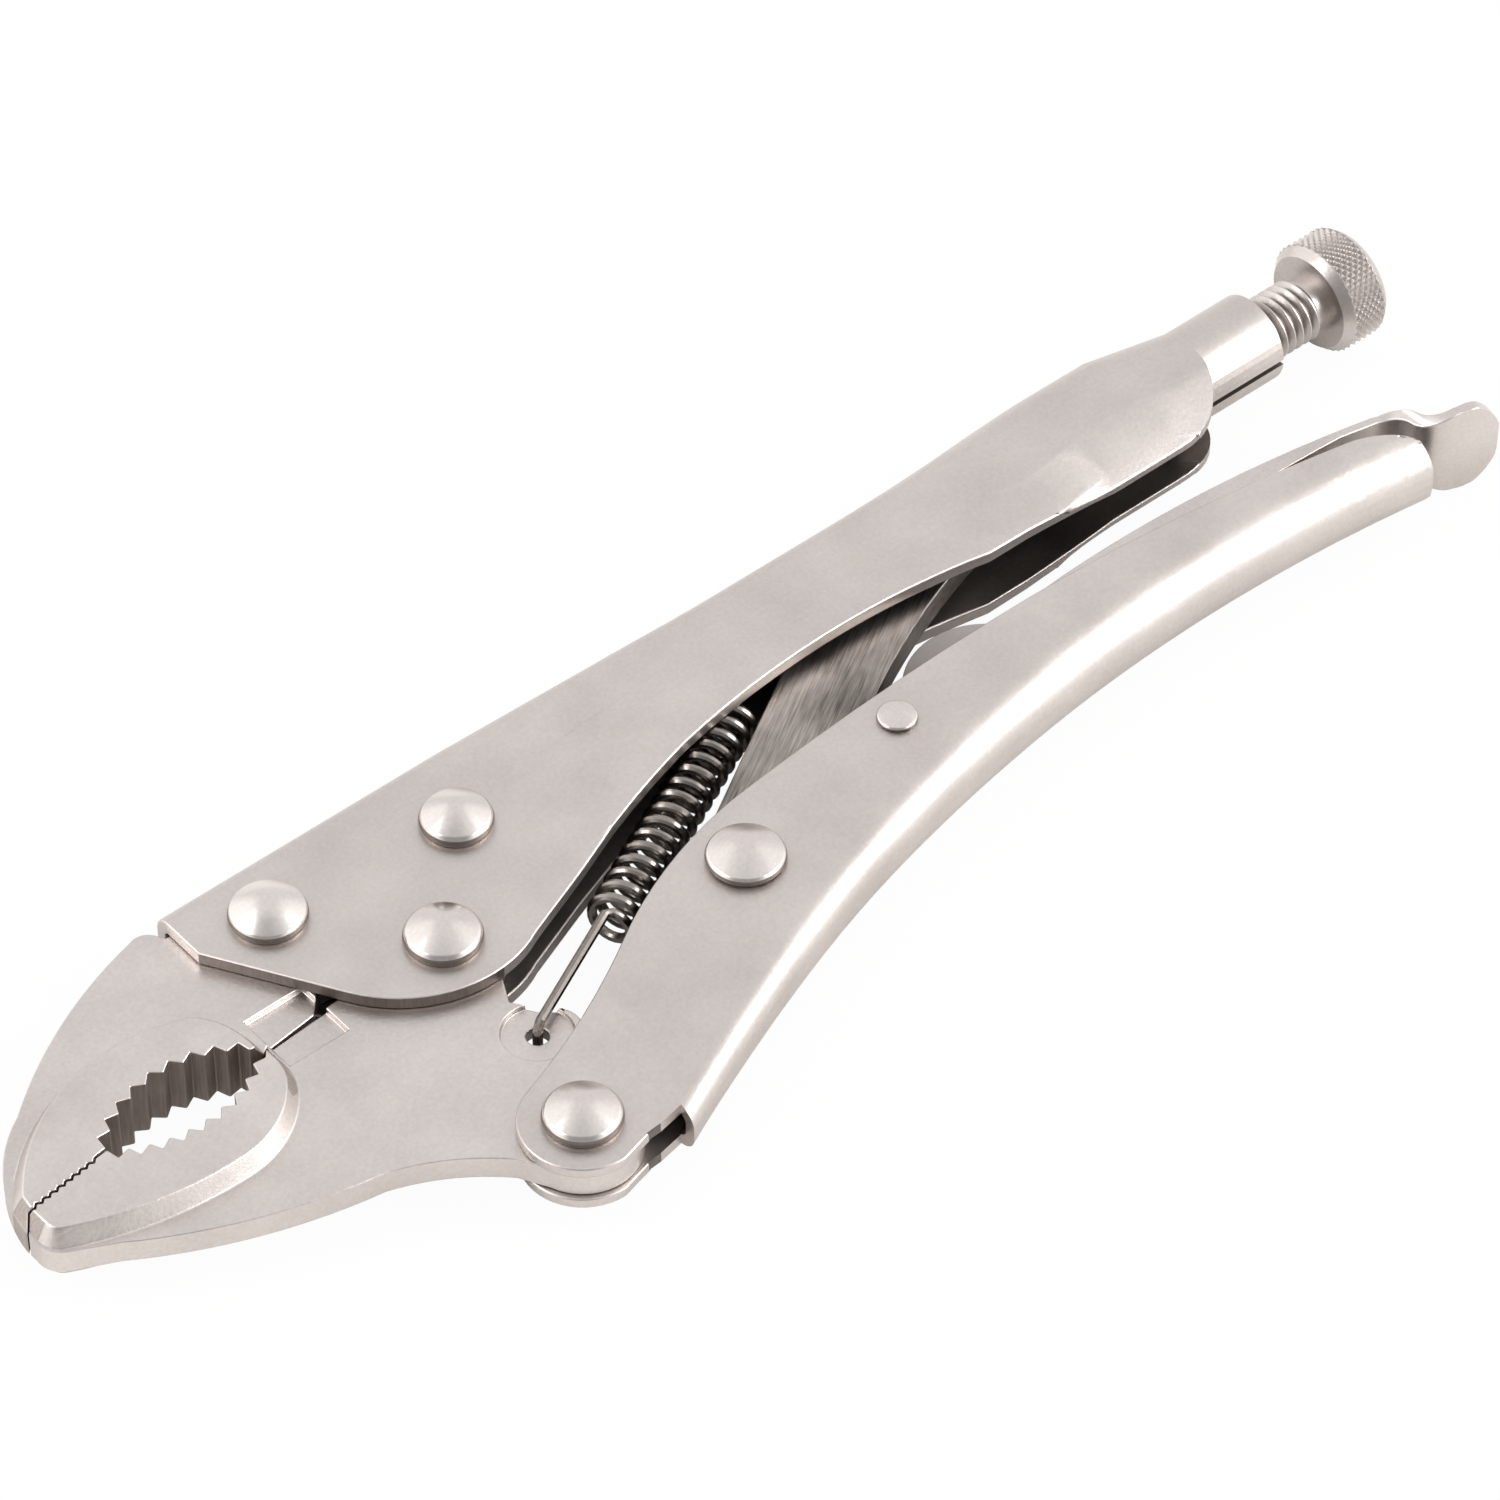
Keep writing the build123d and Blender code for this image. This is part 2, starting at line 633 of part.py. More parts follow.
# Return spring: a close coil between the ear of the lower jaw and the tab of the handle
anchor = (tab_at[0] + tab_length + 1.1, tab_at[1] + 1.8)
spring_run = Vector(anchor[0] - spring_hole_at[0], anchor[1] - spring_hole_at[1])
coil_plane = Plane(
    origin=tool.from_local_coords((*spring_hole_at, 0)), x_dir=(0, 0, 1), z_dir=spring_run
)
coil_length = spring_turns * spring_pitch
tail_start = spring_lead + coil_length
with BuildPart() as coil:
    with BuildLine() as coil_path:
        turns = Helix(
            spring_pitch, coil_length, spring_radius, center=(0, 0, spring_lead), mode=Mode.PRIVATE
        )
        runs = spring_turns * coil_runs
        Polyline(*[turns @ (step / runs) for step in range(runs + 1)])
    with BuildSketch(Plane(coil_path.line @ 0, z_dir=coil_path.line % 0)):
        RegularPolygon(spring_wire / 2, 4, rotation=45)
    sweep(transition=Transition.RIGHT)
    with BuildSketch(Plane.XY.offset(-spring_wire / 2)):
        with Locations((spring_radius, 0)):
            RegularPolygon(spring_wire / 2, 8)
    extrude(amount=spring_lead + spring_wire)
    with BuildSketch(Plane.XY.offset(tail_start - spring_wire / 2)):
        with Locations((spring_radius, 0)):
            RegularPolygon(spring_wire / 2, 8)
    extrude(amount=spring_run.length - tail_start + spring_wire)
    with BuildSketch(Plane.YZ.offset(spring_radius)):
        with Locations((0, 0), (0, spring_run.length)):
            RegularPolygon(spring_wire / 2, 8)
    extrude(amount=-2 * spring_radius)
with BuildPart() as return_spring:
    add(coil.part.moved(coil_plane.location))
return_spring.part.label = "return_spring"
export_step(return_spring.part, "parts/return_spring.step")

# Adjusting screw: a plain shank for the thread, an undercut and the knob
knob_plane = Plane(
    origin=tool.from_local_coords((0, screw_axis_y, 0)), x_dir=(1, 0, 0), z_dir=(0, 0, 1)
)
with BuildPart() as adjusting_screw:
    with BuildSketch(knob_plane):
        with BuildLine():
            Polyline(
                (screw_tip_x, 0),
                (screw_tip_x, screw_radius - screw_chamfer),
                (screw_tip_x + screw_chamfer, screw_radius),
                (knob_front_x - undercut_length, screw_radius),
                (knob_front_x - undercut_length, undercut_radius),
                (knob_front_x, undercut_radius),
                (knob_front_x, knob_radius - knob_front_chamfer),
                (knob_front_x + knob_front_chamfer, knob_radius),
                (knob_end_x - knob_rear_chamfer, knob_radius),
                (knob_end_x, knob_radius - knob_rear_chamfer),
                (knob_end_x, 0),
                close=True,
            )
        make_face()
    revolve(axis=Axis(knob_plane.origin, (1, 0, 0)))
adjusting_screw.part.label = "adjusting_screw"
export_step(adjusting_screw.part, "parts/adjusting_screw.step")

# Rivets: two hold the upper jaw, four are pivots
front_jaw_rivet = rivet(front_rivet_at, handle_half, flat=front_rivet_flat)
front_jaw_rivet.part.label = "front_jaw_rivet"
export_step(front_jaw_rivet.part, "parts/front_jaw_rivet.step")

rear_jaw_rivet = rivet(rear_rivet_at, handle_half, head_radius=rear_head_radius)
rear_jaw_rivet.part.label = "rear_jaw_rivet"
export_step(rear_jaw_rivet.part, "parts/rear_jaw_rivet.step")

jaw_pivot_rivet = rivet((0, 0), handle_half)
jaw_pivot_rivet.part.label = "jaw_pivot_rivet"
export_step(jaw_pivot_rivet.part, "parts/jaw_pivot_rivet.step")

lever_pivot_rivet = rivet(lever_pivot, lever_half)
lever_pivot_rivet.part.label = "lever_pivot_rivet"
export_step(lever_pivot_rivet.part, "parts/lever_pivot_rivet.step")

link_rivet = rivet(
    link_pivot,
    lever_half_at(link_pivot[0] + link_head_radius),
    head_radius=link_head_radius,
    rim=link_rim,
    crown=link_crown,
)
link_rivet.part.label = "link_rivet"
export_step(link_rivet.part, "parts/link_rivet.step")

release_lever_rivet = rivet(
    release_pivot,
    lever_half_at(release_pivot[0] + release_head_radius),
    radius=release_rivet_radius,
    head_radius=release_head_radius,
    rim=release_rim,
    crown=release_crown,
)
release_lever_rivet.part.label = "release_lever_rivet"
export_step(release_lever_rivet.part, "parts/release_lever_rivet.step")
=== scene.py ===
from math import atan2, cos, pi, radians, sin

import bmesh
import bpy
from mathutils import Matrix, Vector
from mathutils.bvhtree import BVHTree


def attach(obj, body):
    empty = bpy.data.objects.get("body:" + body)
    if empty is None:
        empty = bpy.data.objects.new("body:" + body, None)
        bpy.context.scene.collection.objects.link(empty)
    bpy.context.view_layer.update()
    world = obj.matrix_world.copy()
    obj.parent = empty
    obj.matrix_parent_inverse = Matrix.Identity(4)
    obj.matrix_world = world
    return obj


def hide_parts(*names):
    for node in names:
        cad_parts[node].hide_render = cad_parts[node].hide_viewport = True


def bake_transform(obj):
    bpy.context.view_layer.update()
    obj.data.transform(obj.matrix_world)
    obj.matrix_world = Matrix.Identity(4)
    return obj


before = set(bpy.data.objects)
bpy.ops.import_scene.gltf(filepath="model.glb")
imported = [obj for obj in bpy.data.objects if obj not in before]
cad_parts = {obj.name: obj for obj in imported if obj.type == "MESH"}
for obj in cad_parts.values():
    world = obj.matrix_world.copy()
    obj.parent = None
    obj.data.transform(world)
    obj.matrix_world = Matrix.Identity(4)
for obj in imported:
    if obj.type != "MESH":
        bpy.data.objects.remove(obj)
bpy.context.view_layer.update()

# Fixed handle. One strip of 2.1 mm steel, blanked, folded to a channel and nickel plated, its end
# rolled into a collar for the screw. Tumbling has rounded the rims. The inside is darkened as painted
# shade, and the sheared front edges of the cheeks are darker, partly their torn tone, partly painted shade.
jaw_pivot = Vector((-0.0546, 0.008047, 0.00845))


def at(x, y, z=0.0):
    """A point of the tool, in millimetres from the jaw pivot in the middle plane."""
    return jaw_pivot + Vector((x, y, z)) / 1000


def linear(code):
    """sRGB hex colour as linear RGBA."""
    parts = [int(code[i:i + 2], 16) / 255 for i in (1, 3, 5)]
    return [c / 12.92 if c < 0.04045 else ((c + 0.055) / 1.055) ** 2.4 for c in parts] + [1.0]


def add_node(tree, kind, values=None, links=None, **settings):
    """Adds one node, sets its attributes and sockets, and links its inputs."""
    node = tree.nodes.new(kind)
    for key, value in settings.items():
        setattr(node, key, value)
    for key, value in (values or {}).items():
        node.inputs[key].default_value = value
    for key, source in (links or {}).items():
        tree.links.new(source, node.inputs[key])
    return node


def steel(name, dark, light, rough, grain_mm, depth_mm, stretch=(1, 1, 1), turn=0):
    """Steel with a fine grain in tone and height over a faint cloud. Stretch draws it into streaks."""
    # The grain of the real metal is finer than a pixel, so each grain_mm is drawn coarser, to show.
    cloud_mm = 12
    material = bpy.data.materials.new(name)
    material.use_nodes = True
    tree = material.node_tree
    tree.nodes.clear()
    place = add_node(tree, "ShaderNodeTexCoord").outputs["Object"]
    turned = add_node(tree, "ShaderNodeMapping", {"Rotation": (0, 0, radians(turn))}, {"Vector": place})
    drawn = add_node(tree, "ShaderNodeMapping", {"Scale": stretch}, {"Vector": turned.outputs["Vector"]})
    cloud = add_node(
        tree, "ShaderNodeTexNoise", {"Scale": 1000 / cloud_mm, "Detail": 3.0}, {"Vector": place}
    )
    grain = add_node(
        tree, "ShaderNodeTexNoise", {"Scale": 1000 / grain_mm, "Detail": 4.0, "Roughness": 0.65},
        {"Vector": drawn.outputs["Vector"]},
    )
    both = add_node(
        tree, "ShaderNodeMath", links={0: grain.outputs["Fac"], 1: cloud.outputs["Fac"]}, operation="ADD"
    )
    tone = add_node(
        tree, "ShaderNodeMapRange", {"From Min": 0.65, "From Max": 1.35}, {"Value": both.outputs["Value"]}
    )
    colour = add_node(
        tree, "ShaderNodeMix", {"A": linear(dark), "B": linear(light)}, {"Factor": tone.outputs["Result"]},
        data_type="RGBA",
    )
    gloss = add_node(
        tree, "ShaderNodeMapRange",
        {"From Min": 0.3, "From Max": 0.7, "To Min": rough - 0.04, "To Max": rough + 0.04},
        {"Value": cloud.outputs["Fac"]},
    )
    bump = add_node(
        tree, "ShaderNodeBump", {"Strength": 1.0, "Distance": depth_mm / 1000},
        {"Height": grain.outputs["Fac"]},
    )
    shader = add_node(
        tree, "ShaderNodeBsdfPrincipled", {"Metallic": 1.0},
        {
            "Base Color": colour.outputs["Result"],
            "Roughness": gloss.outputs["Result"],
            "Normal": bump.outputs["Normal"],
        },
    )
    add_node(tree, "ShaderNodeOutputMaterial", links={"Surface": shader.outputs["BSDF"]})
    return material


def place_of(item):
    """Middle of a face or an edge, in millimetres from the jaw pivot."""
    return (sum((v.co for v in item.verts), Vector()) / len(item.verts) - jaw_pivot) * 1000


def round_edges(bm, edges, rim_mm, clamp):
    """Rounds the edges with a small arc."""
    bmesh.ops.bevel(
        bm, geom=edges, offset=rim_mm / 1000, offset_type="OFFSET",
        affect="EDGES", segments=3, profile=0.5, material=-1, clamp_overlap=clamp,
    )


def rounded_copy(node, rim_mm, rounds=lambda spot: True):
    """The solid's own surface, joined up, with its hard edges rounded where rounds(spot) holds."""
    bm = bmesh.new()
    bm.from_mesh(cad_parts[node].data)
    bmesh.ops.remove_doubles(bm, verts=bm.verts, dist=2e-5)
    bmesh.ops.dissolve_degenerate(bm, edges=bm.edges, dist=2e-5)
    bmesh.ops.dissolve_limit(bm, angle_limit=radians(0.1), verts=bm.verts, edges=bm.edges)
    hard = [e for e in bm.edges if len(e.link_faces) == 2 and e.calc_face_angle() > radians(35)]
    round_edges(bm, [e for e in hard if rounds(place_of(e))], rim_mm, clamp=False)
    bm.normal_update()
    return bm


def paint_inside_shade(bm, reach_mm):
    """Gives the second material, a painted shade, to the faces that look at another wall of the same piece.
    """
    walls = BVHTree.FromBMesh(bm)
    for face in bm.faces:
        centre = face.calc_center_median()
        hit = walls.ray_cast(centre + face.normal * 1e-5, face.normal, reach_mm / 1000)
        if hit[0] is not None:
            face.material_index = 1


def cut_across(bm, x):
    """Adds a loop of edges round the piece at x, so that it can be shaped there."""
    bmesh.ops.bisect_plane(
        bm, geom=bm.verts[:] + bm.edges[:] + bm.faces[:], plane_co=at(x, 0), plane_no=(1, 0, 0), dist=1e-6
    )


def ease(value, start, end):
    """Soft step from 0 at start to 1 at end."""
    share = min(max((value - start) / (end - start), 0.0), 1.0)
    return share * share * (3 - 2 * share)


def place_piece(name, bm, materials, body, slot, *nodes):
    """Makes the finished piece from a bmesh, shaded by its large faces, and sets it on its body."""
    raw = bpy.data.meshes.new(name)
    bm.to_mesh(raw)
    bm.free()
    raw.shade_smooth()
    raw.set_sharp_from_angle(angle=radians(32))
    for material in materials:
        raw.materials.append(material)
    piece = bpy.data.objects.new(name, raw)
    bpy.context.scene.collection.objects.link(piece)
    weigh = piece.modifiers.new("weigh", "WEIGHTED_NORMAL")
    weigh.keep_sharp = True
    piece.data = bpy.data.meshes.new_from_object(piece.evaluated_get(bpy.context.evaluated_depsgraph_get()))
    piece.modifiers.clear()
    bpy.data.meshes.remove(raw)
    piece.data.name = name
    if body:
        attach(piece, body)
    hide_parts(*nodes)
    return piece


front_until = -20
collar_from = 138
fold_from = 15


def on_handle_rim(spot):
    """True on the rims of the cheeks and the front end. The fold and the collar are round already."""
    return spot.x < collar_from and (spot.y < fold_from or spot.x < front_until)


# Nickel over tumbled sheet: a soft, slightly warm satin that mirrors nothing clearly.
nickel = steel("nickel_plated_sheet", "#C5BDB9", "#D6CFCB", rough=0.4, grain_mm=0.6, depth_mm=0.03)
# Painted shade: the inside of the channel is coloured dark grey for the shade that falls in the hollow.
hollow_shade = steel("painted_shade_inside", "#6E6763", "#837C77", rough=0.55, grain_mm=0.6, depth_mm=0.03)
# The die tears the edge that it shears, with streaks across the sheet. Its dark colour is partly that
# torn tone and partly painted shade, for the shadow in the gap above the jaw.
sheared_edge_shade = steel(
    "sheared_edge_and_shade", "#6B635F", "#8E8581", rough=0.5, grain_mm=0.4, depth_mm=0.03, stretch=(1, 1, 0.15)
)
bm = rounded_copy("fixed_handle", 0.35, on_handle_rim)
# Faces inside the channel take the painted shade of the hollow.
paint_inside_shade(bm, reach_mm=20)

# Where the cheeks spread apart, a thin skin over the fold keeps one round bend all along.
bend = 2.6
spread_from = 20
spread_run = 25
front_half = 4.15
half_gain = 1.85
front_top = 27.5
top_fall = 2.1
skin_lift = 0.008
rings = []
for step in range(11):
    share = step / 10
    lift = skin_lift * ease(share, 0.0, 0.1)
    half = front_half + half_gain * share + lift
    top = front_top - top_fall * share + lift
    outline = [(fold_from, half - 2 * skin_lift), (fold_from + 4, half)]
    for k in range(9):
        angle = k * pi / 16
        outline.append((top - bend + bend * sin(angle), half - bend + bend * cos(angle)))
    outline += [(y, -z) for y, z in reversed(outline)]
    rings.append([bm.verts.new(at(spread_from + spread_run * share, y, z)) for y, z in outline])
for low, high in zip(rings, rings[1:]):
    for k in range(len(low) - 1):
        bm.faces.new((low[k], high[k], high[k + 1], low[k + 1]))

# The spine dips a little at the waist, between the jaw end and the barrel.
waist_drop = 0.5
waist_start = (44, 64)
waist_end = (96, 118)
cheek_fade = (8, 20)
for x in range(48, 119, 5):
    cut_across(bm, x)
for vert in bm.verts:
    x, y, z = (vert.co - jaw_pivot) * 1000
    dip = ease(x, *waist_start) - ease(x, *waist_end)
    vert.co = at(x, y - waist_drop * dip * ease(y, *cheek_fade), z)
bm.normal_update()

# The underside of the spine takes the painted shade of the inside. The slanting edge at the front of
# each cheek is darker: partly its sheared tone, partly painted shade.
slant_from = -25.4
slant_to = 3
spine_from = 20
for face in bm.faces:
    spot = place_of(face)
    under_spine = face.normal.y < -0.6 and spot.y > spine_from and spot.x < collar_from + 1
    edge_below = abs(face.normal.z) < 0.3 and face.normal.y < -0.2 and spot.y < spine_from
    if under_spine:
        face.material_index = 1
    if edge_below and slant_from < spot.x < slant_to:
        face.material_index = 2
place_piece("fixed_handle_sheet", bm, [nickel, hollow_shade, sheared_edge_shade], "fixed_body", "plated_steel", "fixed_handle")

# Upper jaw. A drop forging, trimmed and plated like the sheet, its web riveted between the cheeks.
# Its teeth are cut through the grip after plating, so their flanks are bare steel with the marks
# of the cutter.

# Nickel over a forged skin: a little brighter and more pebbled than the sheet.
forged = steel("nickel_plated_forging", "#CAC2BE", "#DDD6D2", rough=0.36, grain_mm=0.6, depth_mm=0.04)
# Bare cut steel: grey, with fine streaks where the cutter ran through the jaw.
cut = steel(
    "cut_steel", "#9A908A", "#C6BCB6", rough=0.45, grain_mm=0.35, depth_mm=0.04, stretch=(1, 1, 0.06)
)


def off_the_nose(spot):
    """True where a jaw's edges are rounded: everywhere but along its thin web at the nose."""
    return spot.x > -66 or abs(spot.z) > 2.2


def mark_teeth(bm):
    """Gives the second material to the upright faces along the bite and the fine teeth."""
    bite_front = -57
    bite_rear = -28.3
    bite_half = 7.6
    fine_low = -4
    fine_high = 0.6
    for face in bm.faces:
        spot = place_of(face)
        coarse = bite_front < spot.x < bite_rear and abs(spot.y) < bite_half
        fine = spot.x <= bite_front and fine_low < spot.y < fine_high
        if abs(face.normal.z) < 0.5 and (coarse or fine):
            face.material_index = 1


bm = rounded_copy("upper_jaw", 0.25, off_the_nose)
mark_teeth(bm)
place_piece("upper_jaw_forging", bm, [forged, cut], "fixed_body", "plated_forging", "upper_jaw")

# Jaw rivets and jaw pivot. Three plated steel pins through both cheeks, headed in a round die, so
# each head is a soft cone with a round shoulder. The steep wall below the shoulder is darkened as
# painted shade under the head. The front one is set flat on top.

# Plate burnished by the die: the brightest metal on the tool, near a mirror.
bright = steel("plated_rivet", "#D3CCC8", "#E2DBD7", rough=0.2, grain_mm=0.5, depth_mm=0.002)
# Painted shade: the steep wall below the shoulder is coloured dark, for the shadow line round each head.
wall = steel("rivet_wall_painted_shade", "#6F6763", "#8C847F", rough=0.4, grain_mm=0.4, depth_mm=0.01)


def rivet(name, body, node, centre, seat, shank, head, rim, height, flat=1.2):
    """A turned rivet, with the same blunt cone on its head at both ends."""
    soft = rim * 0.75
    slope = atan2(height - rim, head - soft - flat)
    turns = [slope + (pi / 2 - slope) * step / 8 for step in range(9)]
    shoulder = [(head - soft + soft * sin(turn), rim - soft + soft * cos(turn)) for turn in turns]
    radii = [(head - soft) * step / 8 for step in range(8)]
    blunt = (shoulder[0][0] ** 2 + flat ** 2) ** 0.5 - flat
    fall = (height - shoulder[0][1]) / blunt
    cone = [(r, height - fall * ((r * r + flat * flat) ** 0.5 - flat)) for r in radii]
    foot = [(head - 0.1, rim * 0.1), (head - 0.35, 0), (shank, 0)]
    points = [(r, seat + z) for r, z in cone + shoulder + foot]
    points += [(r, -z) for r, z in reversed(points)]
    bm = bmesh.new()
    verts = [bm.verts.new(at(centre[0] + r, centre[1], z)) for r, z in points]
    edges = [bm.edges.new(pair) for pair in zip(verts, verts[1:])]
    bmesh.ops.spin(
        bm, geom=verts + edges, cent=at(*centre), axis=(0, 0, 1), angle=2 * pi, steps=56, use_merge=True
    )
    bmesh.ops.remove_doubles(bm, verts=bm.verts, dist=1e-6)
    bmesh.ops.recalc_face_normals(bm, faces=bm.faces)
    # The steep faces below the shoulder take the painted shade.
    for face in bm.faces:
        steep = abs(face.normal.z) < 0.45
        face.material_index = int(steep)
    place_piece(name, bm, [bright, wall], body, "rivet_steel", node)


rivet(
    "front_rivet_turned", "fixed_body", "front_jaw_rivet", (-14.8, 17.6),
    seat=4.25, shank=3.0, head=5.3, rim=2.1, height=3.8, flat=2.3,
)
rivet(
    "rear_rivet_turned", "fixed_body", "rear_jaw_rivet", (14.1, 14.9),
    seat=4.25, shank=3.0, head=5.0, rim=2.1, height=3.8,
)
rivet(
    "jaw_pivot_turned", "fixed_body", "jaw_pivot_rivet", (0, 0),
    seat=4.25, shank=3.0, head=5.3, rim=2.1, height=3.8,
)

# Lower jaw. The same kind of forging, plated and cut like the upper one, with a boss for the pivot
# and a thinned ear for the spring. It swings on the jaw pivot between the cheeks.
bm = rounded_copy("lower_jaw", 0.25, off_the_nose)
mark_teeth(bm)
place_piece("lower_jaw_forging", bm, [forged, cut], "lower_jaw_body", "plated_forging", "lower_jaw")

# Return spring. Music wire wound to an open coil and oil blackened, hooked through the ear of the
# lower jaw and over a tab inside the handle. It stretches as the jaw opens.
hole = Vector((0.4, -18.6, 0))
anchor = Vector((81.1, 21.2, 0))
coil_radius = 3.0
wire_radius = 0.7
lead = 21.5
coil_turns = 17
coil_pitch = 2.5
turn_steps = 24
wire_sides = 10
run = anchor - hole
lengthwise = run.normalized()
crosswise = lengthwise.cross(Vector((0, 0, 1)))

# Blackened drawn wire: dark grey, with a sharp bright line along each turn.
black = steel("black_wire", "#857E79", "#A59E98", rough=0.24, grain_mm=0.6, depth_mm=0.005)


def wire_point(length, angle, radius=coil_radius):
    """A point on the spring's round, at a length from the hole."""
    round_part = Vector((0, 0, cos(angle))) + crosswise * sin(angle)
    return at(*(hole + lengthwise * length + round_part * radius))


# The wire comes up through the hole, runs straight to the coil, and ends in a hook on the tab.
path = [wire_point(0, pi), wire_point(0, 0, 1.6), wire_point(0.25, 0, 2.3)]
path += [wire_point(0.9 + (lead - 1.5) * step / 8, 0) for step in range(9)]
for step in range(1, coil_turns * turn_steps):
    path.append(wire_point(lead + coil_pitch * step / turn_steps, 2 * pi * step / turn_steps))
coil_end = lead + coil_pitch * coil_turns
path += [wire_point(coil_end + 0.6 + (run.length - coil_end - 1.6) * step / 5, 0) for step in range(6)]
path += [wire_point(run.length - 0.2, 0, 2.2), wire_point(run.length, 0, 1.5), wire_point(run.length, pi)]
bm = bmesh.new()
rings = []
side = crosswise.copy()
for step, point in enumerate(path):
    heading = (path[min(step + 1, len(path) - 1)] - path[max(step - 1, 0)]).normalized()
    side = (side - heading * side.dot(heading)).normalized()
    other = heading.cross(side)
    ring = []
    for k in range(wire_sides):
        angle = 2 * pi * k / wire_sides
        ring.append(bm.verts.new(point + (side * cos(angle) + other * sin(angle)) * wire_radius / 1000))
    rings.append(ring)
for first, second in zip(rings, rings[1:]):
    for k in range(wire_sides):
        onward = (k + 1) % wire_sides
        bm.faces.new((first[k], first[onward], second[onward], second[k]))
bm.faces.new(rings[0])
bm.faces.new(rings[-1])
bmesh.ops.recalc_face_normals(bm, faces=bm.faces)
spring = place_piece("return_spring_wire", bm, [black], None, "spring_steel", "return_spring")
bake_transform(spring)

# Lever handle. A deeper channel of 1.7 mm sheet, plated like the fixed handle and drawn to a round
# back that fits the hand, with two cheeks that hold the jaw's tail on the lever pivot.
back_from = 5.5
span = 15.32
spans = 10
span_cuts = 4
crest_x = 120
crest_y = -16.5
sweep_radius = 262
toe_depth = 0.75
toe_end = 22
toe_fade = (14, 56)
back_fade = (2, 10)


def off_the_notch(spot):
    """True where the lever's edges are rounded: everywhere but round the notch at its front."""
    return not (-1 < spot.x < 9 and spot.y < -37)


def lever_back(x, toe):
    """Height of the lever's back at x: one long sweep, dropped by a share of the toe's depth."""
    return crest_y - sweep_radius + (sweep_radius ** 2 - (x - crest_x) ** 2) ** 0.5 - toe_depth * toe


bm = rounded_copy("lever_handle", 0.35, off_the_notch)
# Faces inside the channel take the painted shade of the hollow.
paint_inside_shade(bm, reach_mm=16)
for step in range(1, spans * span_cuts):
    cut_across(bm, back_from + span * step / span_cuts)

# The solid's back is straight from span to span. Here it is one smooth sweep, with a longer toe.
for vert in bm.verts:
    x, y, z = (vert.co - jaw_pivot) * 1000
    if back_from < x < back_from + span * spans:
        start = back_from + span * int((x - back_from) / span)
        toes = [max(0.0, (toe_end - end) / (toe_end - back_from)) ** 2 for end in (start, start + span)]
        first = lever_back(start, toes[0])
        last = lever_back(start + span, toes[1])
        chord = first + (last - first) * (x - start) / span
        sweep = lever_back(x, 1 - ease(x, *toe_fade))
        vert.co = at(x, y + (sweep - chord) * (1 - ease(y - chord, *back_fade)), z)
bm.normal_update()

# The floor of the channel takes the same painted shade as its walls.
for face in bm.faces:
    spot = place_of(face)
    channel_floor = face.normal.y > 0.5 and spot.x > 7 and abs(spot.z) < 4
    if channel_floor:
        face.material_index = 1
place_piece("lever_handle_sheet", bm, [nickel, hollow_shade], "lever_body", "plated_steel", "lever_handle")

# Lever pivot. A plated steel pin like the jaw rivets, headed over both cheeks of the lever.
# The tail of the lower jaw turns on it.
rivet(
    "lever_pivot_turned", "lever_body", "lever_pivot_rivet", (-5.4, -34.8),
    seat=3.85, shank=3.0, head=5.3, rim=2.1, height=3.8,
)

# Toggle link. A blanked bar of bare steel, belt ground across its length, so it is dark and streaky,
# with a light line along its broken edge. One end turns on the link rivet in the lever.

# Belt-ground bare steel: dark and light streaks that all run one way.
ground = steel(
    "belt_ground_bar", "#5F5955", "#C4BCB6", rough=0.4, grain_mm=0.3, depth_mm=0.05,
    stretch=(0.05, 1, 1), turn=-31,
)
bm = rounded_copy("toggle_link", 0.3)
place_piece("toggle_link_bar", bm, [ground], "link_body", "link_steel", "toggle_link")

# Link rivet. A plated steel pin with a lower, broader head, headed over both walls of the lever.
# The toggle link turns on it.
rivet(
    "link_rivet_turned", "lever_body", "link_rivet", (38.4, -14.8),
    seat=4.89, shank=3.0, head=5.4, rim=1.4, height=3.3,
)

# Release lever. Sheet of 1.2 mm, folded to an inverted channel inside the lever and plated, its end
# spread to a broad paddle that the thumb presses. A small rivet is its pivot.

# Plated satin sheet with a painted shadow: its colour fades to near black towards the front,
# where it lies in the shade of the link and the handle.
shadow_tone = "#4A4340"
shadow_until = at(70, 0).x
lit_from = at(104, 0).x
shaded = steel("release_sheet_painted_shadow", "#C6BEBA", "#DAD3CF", rough=0.42, grain_mm=0.45, depth_mm=0.014)
tree = shaded.node_tree
shader = next(node for node in tree.nodes if node.type == "BSDF_PRINCIPLED")
colour = shader.inputs["Base Color"].links[0].from_socket
place = add_node(tree, "ShaderNodeTexCoord").outputs["Object"]
length = add_node(tree, "ShaderNodeSeparateXYZ", links={"Vector": place}).outputs["X"]
fade = add_node(
    tree, "ShaderNodeMapRange",
    {"From Min": shadow_until, "From Max": lit_from, "To Min": 0.1, "To Max": 1.0}, {"Value": length},
)
# Painted shadow: the base colour is mixed towards near black at the front of the lever.
shadow_mix = add_node(
    tree, "ShaderNodeMix", {"A": linear(shadow_tone)}, {"Factor": fade.outputs["Result"], "B": colour},
    data_type="RGBA",
)
tree.links.new(shadow_mix.outputs["Result"], shader.inputs["Base Color"])

release_rim = 0.25
paddle_from = 166
bend_until = 165.3
tuck_in = 0.4
bm = rounded_copy("release_lever", release_rim, lambda spot: spot.x < paddle_from)

